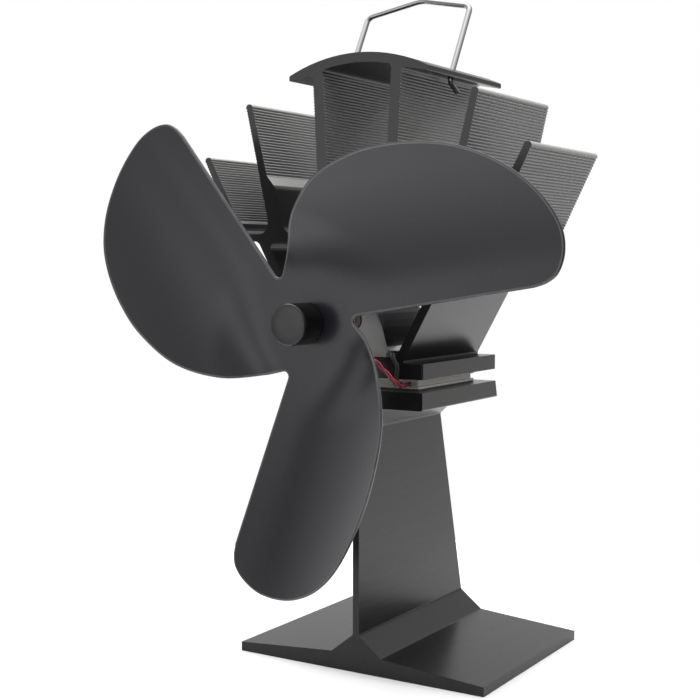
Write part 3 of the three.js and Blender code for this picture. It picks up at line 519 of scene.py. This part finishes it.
def handle_steel():
    """Drawn wire under a dark, bright plating."""
    material = new_material("handle_steel", (0.2, 0.2, 0.205), roughness=0.18, metallic=1)
    vary_roughness(material, grain(material, size=1.5), low=0.14, high=0.24)
    raise_by(material, grain(material, size=0.2), depth=0.004)
    return material


def dark_steel():
    material = new_material("dark_steel", (0.09, 0.09, 0.095), roughness=0.35, metallic=0.9)
    vary_roughness(material, grain(material, size=2), low=0.3, high=0.42)
    raise_by(material, grain(material, size=0.2), depth=0.006)
    return material


def ceramic():
    material = new_material("ceramic", (0.86, 0.84, 0.79), roughness=0.5)
    tint(material, grain(material, size=3), dark=(0.82, 0.79, 0.73), light=(0.9, 0.885, 0.85))
    raise_by(material, grain(material, size=0.15), depth=0.01)
    return material


def module_core():
    material = new_material("module_core", (0.82, 0.8, 0.74), roughness=0.6)
    tint(material, grain(material, size=1.2), dark=(0.74, 0.71, 0.63), light=(0.88, 0.86, 0.81))
    raise_by(material, grain(material, size=0.4), depth=0.05)
    return material


def graphite():
    material = new_material("graphite", (0.08, 0.08, 0.085), roughness=0.55)
    tint(material, grain(material, size=0.5), dark=(0.05, 0.05, 0.055), light=(0.12, 0.12, 0.125))
    raise_by(material, grain(material, size=0.2), depth=0.01)
    return material


def bronze():
    material = new_material("bronze", (0.17, 0.14, 0.11), roughness=0.45, metallic=0.9)
    tint(material, grain(material, size=0.6), dark=(0.12, 0.1, 0.08), light=(0.22, 0.185, 0.14))
    raise_by(material, grain(material, size=0.1), depth=0.01)
    return material


def copper():
    material = new_material("copper", (0.55, 0.28, 0.15), roughness=0.35, metallic=1)
    vary_roughness(material, grain(material, size=1), low=0.28, high=0.45)
    raise_by(material, grain(material, size=0.3), depth=0.01)
    return material


def ferrite():
    material = new_material("ferrite", (0.07, 0.065, 0.06), roughness=0.75)
    tint(material, grain(material, size=0.5), dark=(0.05, 0.046, 0.042), light=(0.09, 0.085, 0.08))
    raise_by(material, grain(material, size=0.2), depth=0.02)
    return material


def white_plastic():
    material = new_material("white_plastic", (0.7, 0.69, 0.65), roughness=0.45)
    vary_roughness(material, grain(material, size=1), low=0.4, high=0.55)
    raise_by(material, grain(material, size=0.2), depth=0.01)
    return material


def red_sleeve():
    material = new_material("red_sleeve", (0.24, 0.008, 0.022), roughness=0.35)
    tint(material, grain(material, size=1), dark=(0.19, 0.006, 0.016), light=(0.29, 0.012, 0.03))
    raise_by(material, grain(material, size=0.3), depth=0.01)
    return material


def black_sleeve():
    material = new_material("black_sleeve", (0.015, 0.015, 0.017), roughness=0.4)
    vary_roughness(material, grain(material, size=1), low=0.34, high=0.5)
    raise_by(material, grain(material, size=0.3), depth=0.01)
    return material


def fibre():
    material = new_material("fibre", (0.16, 0.08, 0.045), roughness=0.8)
    tint(material, grain(material, size=0.3), dark=(0.11, 0.055, 0.03), light=(0.2, 0.1, 0.06))
    raise_by(material, grain(material, size=0.15), depth=0.03)
    return material


FINISH_MAKERS = [
    black_aluminium, ribbed_aluminium, blade_black, blade_edge, bare_aluminium, bright_steel,
    handle_steel, dark_steel, ceramic, module_core, graphite, bronze, copper, ferrite,
    white_plastic, red_sleeve, black_sleeve, fibre,
]
FINISHES = {make.__name__: make() for make in FINISH_MAKERS}

# Shown objects whose finish isn't the one of their slot
OWN_FINISHES = {"heat_sink": "ribbed_aluminium", "handle_wire": "handle_steel"}


def finish_of(name, slot):
    return FINISHES[OWN_FINISHES.get(name, slot)]


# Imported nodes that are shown

def dress_nodes():
    """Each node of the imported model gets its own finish, or that of its slot."""
    for part in frame["record"]["subparts"]:
        name = part["node"]
        slot = part["material_slot"]
        node = frame["nodes"][name]
        node.data.materials.clear()
        node.data.materials.append(finish_of(name, slot))


def break_edges(name, width):
    """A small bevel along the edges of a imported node, which itself stays as it is."""
    node = frame["nodes"][name]
    flat = node.modifiers.new("flat", "DECIMATE")
    flat.decimate_type = "DISSOLVE"
    flat.angle_limit = FLAT_ANGLE
    edge = node.modifiers.new("edge", "BEVEL")
    edge.width = width * MM
    edge.segments = EDGE_SEGMENTS
    edge.limit_method = "ANGLE"
    edge.angle_limit = EDGE_ANGLE
    edge.use_clamp_overlap = True
    edge.harden_normals = True


# Mesh tools of the fine pieces

def mesh_of(name, vertices, faces):
    """A mesh whose vertices are given in millimetres."""
    mesh = bpy.data.meshes.new(name)
    mesh.from_pydata([Vector(vertex) * MM for vertex in vertices], [], faces)
    mesh.update()
    return mesh


def add_piece(name, vertices, faces, body, slot, node, sharp=SHARP_ANGLE):
    """A smooth-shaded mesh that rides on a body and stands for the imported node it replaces."""
    mesh = mesh_of(name, vertices, faces)
    mesh.polygons.foreach_set("use_smooth", [True] * len(mesh.polygons))
    mesh.set_sharp_from_angle(angle=sharp)
    mesh.materials.append(finish_of(name, slot))
    piece = bpy.data.objects.new(name, mesh)
    bpy.context.scene.collection.objects.link(piece)
    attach(piece, body)
    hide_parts(node)
    return piece


def cut_hole(piece, vertices, faces):
    """Takes a closed body out of a piece and leaves no modifier behind."""
    cutter = bpy.data.objects.new("cutter", mesh_of("cutter", vertices, faces))
    bpy.context.scene.collection.objects.link(cutter)
    modifier = piece.modifiers.new("cut", "BOOLEAN")
    modifier.operation = "DIFFERENCE"
    modifier.solver = "EXACT"
    modifier.object = cutter
    bpy.context.view_layer.update()
    result = bpy.data.meshes.new_from_object(
        piece.evaluated_get(bpy.context.evaluated_depsgraph_get())
    )
    piece.modifiers.clear()
    piece.data = result
    bpy.data.objects.remove(cutter)


def between_rings(first, second, sides):
    """Quads between two rings of the same number of vertices."""
    return [
        (first + i, first + (i + 1) % sides, second + (i + 1) % sides, second + i)
        for i in range(sides)
    ]


def lathe(profile, sides, place=(0, 0, 0)):
    """A closed profile of radius and distance along Y, turned about Y.

    Radius zero closes an end.
    """
    vertices = []
    faces = []
    rings = []
    for radius, along in profile:
        rings.append((len(vertices), radius == 0))
        steps = 1 if radius == 0 else sides
        for i in range(steps):
            angle = FULL_TURN * i / sides
            vertices.append((
                place[0] + radius * math.cos(angle),
                place[1] + along,
                place[2] + radius * math.sin(angle),
            ))
    pairs = list(zip(rings, rings[1:]))
    if not rings[0][1]:
        pairs.append((rings[-1], rings[0]))
    for (first, first_point), (second, second_point) in pairs:
        if first_point and second_point:
            continue
        if first_point:
            faces += [(first, second + (i + 1) % sides, second + i) for i in range(sides)]
        elif second_point:
            faces += [(first + i, first + (i + 1) % sides, second) for i in range(sides)]
        else:
            faces += between_rings(first, second, sides)
    return vertices, faces


def tube(points, radius, sides, edge):
    """A round bar along points, with its ends turned down by edge."""
    ahead = [(b - a).normalized() for a, b in zip(points, points[1:])]
    along = [ahead[0], *((a + b).normalized() for a, b in zip(ahead, ahead[1:])), ahead[-1]]
    rows = [
        (points[0], along[0], radius - edge),
        (points[0] + along[0] * edge, along[0], radius),
        *((point, way, radius) for point, way in zip(points[1:-1], along[1:-1])),
        (points[-1] - along[-1] * edge, along[-1], radius),
        (points[-1], along[-1], radius - edge),
    ]
    vertices = []
    side = along[0].orthogonal().normalized()
    for centre, way, reach in rows:
        side = (side - way * side.dot(way)).normalized()
        other = way.cross(side)
        for i in range(sides):
            angle = FULL_TURN * i / sides
            spoke = side * math.cos(angle) + other * math.sin(angle)
            vertices.append(centre + spoke * reach)
    faces = []
    for row in range(len(rows) - 1):
        faces += between_rings(row * sides, (row + 1) * sides, sides)
    faces.append(tuple(reversed(range(sides))))
    faces.append(tuple(range(len(vertices) - sides, len(vertices))))
    return vertices, faces


def rounded(before, at, after, radius, steps):
    """Points along the arc that rounds the corner between its neighbours."""
    back = (before - at).normalized()
    ahead = (after - at).normalized()
    half = back.angle(ahead) / 2
    reach = radius / math.tan(half)
    centre = at + (back + ahead).normalized() * (radius / math.sin(half))
    start = at + back * reach - centre
    end = at + ahead * reach - centre
    turn = start.angle(end)
    return [
        centre
        + start * (math.sin((1 - i / steps) * turn) / math.sin(turn))
        + end * (math.sin(i / steps * turn) / math.sin(turn))
        for i in range(steps + 1)
    ]


def span_points(start, leaving, end, arriving, steps):
    """Points of a cubic from its start, which it leaves out, to its end, by its speeds at both."""
    shares = [i / steps for i in range(1, steps + 1)]
    return [
        start * (2 * t**3 - 3 * t**2 + 1)
        + leaving * (t**3 - 2 * t**2 + t)
        + end * (3 * t**2 - 2 * t**3)
        + arriving * (t**3 - t**2)
        for t in shares
    ]


def uniform_curve(points, steps):
    """Points of a uniform Catmull-Rom curve, without its first."""
    padded = [points[0], *points, points[-1]]
    curve = []
    for before, start, end, after in zip(padded, padded[1:], padded[2:], padded[3:]):
        curve += span_points(start, (end - before) / 2, end, (after - start) / 2, steps)
    return curve


def centripetal_curve(points, steps):
    """Points of a centripetal Catmull-Rom curve through all of the points."""
    padded = [points[0] * 2 - points[1], *points, points[-1] * 2 - points[-2]]
    curve = [points[0]]
    for before, start, end, after in zip(padded, padded[1:], padded[2:], padded[3:]):
        first, second, third = (
            math.sqrt((b - a).length)
            for a, b in ((before, start), (start, end), (end, after))
        )
        leaving = (
            (start - before) / first - (end - before) / (first + second) + (end - start) / second
        ) * second
        arriving = (
            (end - start) / second - (after - start) / (second + third) + (after - end) / third
        ) * second
        curve += span_points(start, leaving, end, arriving, steps)
    return curve


# Fan blade

def smoothstep(value, low, high):
    share = min(max((value - low) / (high - low), 0), 1)
    return share * share * (3 - 2 * share)


def camber_at(x, z):
    """How far forward the sheet is rolled at a place, and how steeply."""
    radius = math.hypot(x, z)
    start = CAMBER_END - LOBE_TURN
    angle = (math.atan2(z, x) - start) % LOBE_TURN + start
    over = max(0, radius * math.sin(angle) - CAMBER_START)
    share = smoothstep(radius, *CAMBER_BLEND) * (1 - smoothstep(angle, CAMBER_FADE, CAMBER_END))
    return share * over * over / (2 * CAMBER_RADIUS), share * over / CAMBER_RADIUS


def rolled(point, depth_share):
    """A flat point's place in the rolled sheet, from its front at share 0 to its back at 1."""
    rise, slope = camber_at(point.x, point.y)
    thickness = BLADE_THICKNESS * math.hypot(1, slope)
    return Vector((point.x, -rise - thickness * (1 - depth_share), point.y))


def lobe_place(share, lobe):
    return Matrix.Rotation(lobe * LOBE_TURN, 2) @ (Vector(share) * BLADE_RADIUS)


def lobe_corner(lobe):
    """The rounded notch between the lobe before and a lobe's straight edge."""
    return rounded(
        lobe_place(LOBE_OUTLINE_SHARES[-1], lobe - 1),
        lobe_place(NOTCH_SHARE, lobe),
        lobe_place(STRAIGHT_END_SHARE, lobe),
        NOTCH_RADIUS,
        NOTCH_STEPS,
    )


def straight_run(start, end):
    """Points about a grid's spacing apart from start, which is left out, to end."""
    steps = round((end - start).length / BLADE_GRID)
    return [start.lerp(end, i / steps) for i in range(1, steps + 1)]


def blade_outline():
    outline = []
    for lobe in range(LOBES):
        straight_end = lobe_place(STRAIGHT_END_SHARE, lobe)
        edge = [lobe_place(share, lobe) for share in LOBE_OUTLINE_SHARES]
        outline += lobe_corner(lobe)
        outline += straight_run(outline[-1], straight_end)
        outline += uniform_curve([straight_end, *edge], OUTLINE_STEPS)
        outline += straight_run(outline[-1], lobe_corner(lobe + 1)[0])[:-1]
    return outline


def drawn_in(ring, inset):
    """The ring, which runs anticlockwise, moved in by inset."""
    moved = []
    for i, point in enumerate(ring):
        way = (ring[(i + 1) % len(ring)] - ring[i - 1]).normalized()
        moved.append(point + Vector((-way.y, way.x)) * inset)
    return moved


def inside(ring, points):
    """Which of the points the ring goes round."""
    x, y = points[:, 0:1], points[:, 1:2]
    corners = np.array([tuple(point) for point in ring])
    x0, y0 = corners[:, 0], corners[:, 1]
    x1, y1 = np.roll(x0, -1), np.roll(y0, -1)
    level = (y0 <= y) != (y1 <= y)
    rise = np.where(y1 == y0, 1, y1 - y0)
    crossing = x0 + (y - y0) * (x1 - x0) / rise
    return (level & (x < crossing)).sum(axis=1) % 2 == 1


def grid_points(outline, hole):
    """Points on a square grid that lie on the flat sheet and clear of both rims."""
    lines = np.arange(-BLADE_RADIUS, BLADE_RADIUS, BLADE_GRID)
    grid = np.array([(x, z) for x in lines for z in lines])
    rim = np.array([tuple(point) for point in outline + hole])
    gap = np.sqrt(((grid[:, None, :] - rim[None, :, :]) ** 2).sum(axis=2)).min(axis=1)
    clear = gap > BLADE_GRID * GRID_CLEARANCE_SHARE
    outside_hole = np.hypot(grid[:, 0], grid[:, 1]) > SPIGOT_HOLE
    return [Vector(point) for point in grid[clear & inside(outline, grid) & outside_hole].tolist()]


def flat_skin(outline, hole):
    """The sheet's flat skin: its points, with both rims' own first, and its triangles."""
    rims = [drawn_in(ring, RIM_PROFILE[0][0]) for ring in (outline, hole)]
    points = rims[0] + rims[1] + grid_points(outline, hole)
    edges = []
    start = 0
    for rim in rims:
        edges += [(start + i, start + (i + 1) % len(rim)) for i in range(len(rim))]
        start += len(rim)
    skin, _, triangles, *_ = delaunay_2d_cdt(points, edges, [], KEEP_INSIDE, SAME_POINT)
    triangles = [
        tuple(triangle)
        for triangle in triangles
        if sum((skin[i] for i in triangle), Vector((0, 0))).length / 3 > SPIGOT_HOLE
    ]
    return skin, triangles


def make_blade():
    """The rolled sheet as one fine skin, with a rounded rim and the spigot's hole."""
    outline = blade_outline()
    hole = [
        Vector((math.cos(angle), -math.sin(angle))) * SPIGOT_HOLE
        for angle in (FULL_TURN * i / HOLE_SIDES for i in range(HOLE_SIDES))
    ]
    skin, triangles = flat_skin(outline, hole)
    skin_points = len(skin)
    vertices = [rolled(point, 0) for point in skin] + [rolled(point, 1) for point in skin]
    faces = triangles + [tuple(i + skin_points for i in reversed(face)) for face in triangles]
    skin_faces = len(faces)
    first = 0
    for ring in (outline, hole):
        rows = [first]
        for inset, share in RIM_PROFILE[1:-1]:
            rows.append(len(vertices))
            vertices += [rolled(point, share) for point in drawn_in(ring, inset)]
        rows.append(first + skin_points)
        for row, following in zip(rows, rows[1:]):
            faces += [face[::-1] for face in between_rings(row, following, len(ring))]
        first += len(ring)
    turn = Matrix.Rotation(BLADE_ANGLE, 3, Vector((0, -1, 0)))
    centre = Vector((0, BLADE_SETBACK, AXIS_HEIGHT))
    vertices = [turn @ vertex + centre for vertex in vertices]
    sheet = add_piece(
        "blade_sheet", vertices, faces, "rotor", "blade_black", "fan_blade", RIM_ANGLE
    )
    sheet.data.materials.append(FINISHES["blade_edge"])
    for face in sheet.data.polygons[skin_faces:]:
        face.material_index = 1


# Hub

def hub_profile():
    """Radius and distance from the seat, from the front face round to the bore's blind end."""
    front = -HUB_LENGTH
    quarter = [math.radians(90 * i / HUB_EDGE_STEPS) for i in range(HUB_EDGE_STEPS + 1)]
    front_edge = [
        (
            HUB_RADIUS - HUB_EDGE * (1 - math.sin(angle)),
            front + HUB_EDGE * (1 - math.cos(angle)),
        )
        for angle in quarter
    ]
    return [
        (0, front),
        (HUB_RADIUS * HUB_FACE_SHARE, front),
        *front_edge,
        *((HUB_RADIUS + out, along) for out, along in HUB_BACK_EDGE),
        (SPIGOT_RADIUS, 0),
        (SPIGOT_RADIUS, SPIGOT_LENGTH - SPIGOT_EDGE),
        (SPIGOT_RADIUS - SPIGOT_EDGE, SPIGOT_LENGTH),
        (BORE_RADIUS, SPIGOT_LENGTH),
        (BORE_RADIUS, BORE_END),
        (0, BORE_END),
    ]


def make_hub():
    """The turned hub that is riveted through the blade, with its grub screw's hole."""
    vertices, faces = lathe(hub_profile(), HUB_SIDES, (0, HUB_SEAT, AXIS_HEIGHT))
    piece = add_piece("hub_body", vertices, faces, "rotor", "black_aluminium", "hub")
    hole, sides = lathe(
        [(0, 0), (GRUB_HOLE_RADIUS, 0), (GRUB_HOLE_RADIUS, GRUB_HOLE_REACH), (0, GRUB_HOLE_REACH)],
        GRUB_HOLE_SIDES,
    )
    centre = Vector((0, HUB_SEAT - GRUB_SETBACK, AXIS_HEIGHT))
    turn = Matrix.Rotation(math.radians(90), 3, "Z")
    cut_hole(piece, [turn @ Vector(vertex) + centre for vertex in hole], sides)


# Carry handle

def bent_path(places, bend, steps):
    """Straight runs between places, with a bend at each place on the way."""
    path = [places[0]]
    for before, at, after in zip(places, places[1:], places[2:]):
        start = at + (before - at).normalized() * bend
        end = at + (after - at).normalized() * bend
        shares = [i / steps for i in range(steps + 1)]
        path += [start * (1 - t) ** 2 + at * 2 * t * (1 - t) + end * t**2 for t in shares]
    path.append(places[-1])
    return path


def make_handle():
    """Bent wire, hooked under the cap and leaned back about its pivots."""
    side = [
        (HANDLE_HALF_WIDTH, HANDLE_HOOK, HANDLE_HOOK_HEIGHT),
        (HANDLE_HALF_WIDTH, 0, HANDLE_HOOK_HEIGHT),
        (HANDLE_HALF_WIDTH, 0, HANDLE_CORNER),
    ]
    places = [(-x, y, z) for x, y, z in side] + [(0, 0, HANDLE_APEX)] + side[::-1]
    lean = Matrix.Rotation(-HANDLE_LEAN, 3, "X")
    path = bent_path([Vector(place) for place in places], HANDLE_BEND, BEND_STEPS)
    path = [lean @ point + HANDLE_PIVOT for point in path]
    vertices, faces = tube(path, WIRE_RADIUS, WIRE_SIDES, WIRE_EDGE)
    add_piece("handle_wire", vertices, faces, "handle", "bright_steel", "carry_handle")


# Leads

def twisted(points, phase):
    """The path of one wire that winds round the lead's own path."""
    ahead = [(b - a).normalized() for a, b in zip(points, points[1:])]
    ahead.append(ahead[-1])
    side = ahead[0].orthogonal().normalized()
    path = []
    travelled = 0
    for i, (point, way) in enumerate(zip(points, ahead)):
        if i:
            travelled += (point - points[i - 1]).length
        side = (side - way * side.dot(way)).normalized()
        angle = phase + FULL_TURN * travelled / LEAD_TWIST
        spoke = side * math.cos(angle) + way.cross(side) * math.sin(angle)
        path.append(point + spoke * LEAD_REACH)
    return path


def make_lead(name, route, slot, node):
    """Thin wires twisted into one lead."""
    places = [Vector((x, y - BASE_HALF_DEPTH, z)) for x, y, z in route]
    points = centripetal_curve(places, LEAD_STEPS)
    vertices = []
    faces = []
    for wire in range(LEAD_WIRES):
        path = twisted(points, FULL_TURN * wire / LEAD_WIRES)
        more, skin = tube(path, LEAD_RADIUS, LEAD_SIDES, LEAD_EDGE)
        faces += [tuple(i + len(vertices) for i in face) for face in skin]
        vertices += more
    add_piece(name, vertices, faces, "stand", slot, node)


make_camera()
make_studio()
make_floor()
dress_nodes()
for node_name, edge_width in EDGES.items():
    break_edges(node_name, edge_width)
make_blade()
make_hub()
make_handle()
make_lead("red_lead_sleeve", RED_LEAD, "red_sleeve", "red_lead")
make_lead("black_lead_sleeve", BLACK_LEAD, "black_sleeve", "black_lead")
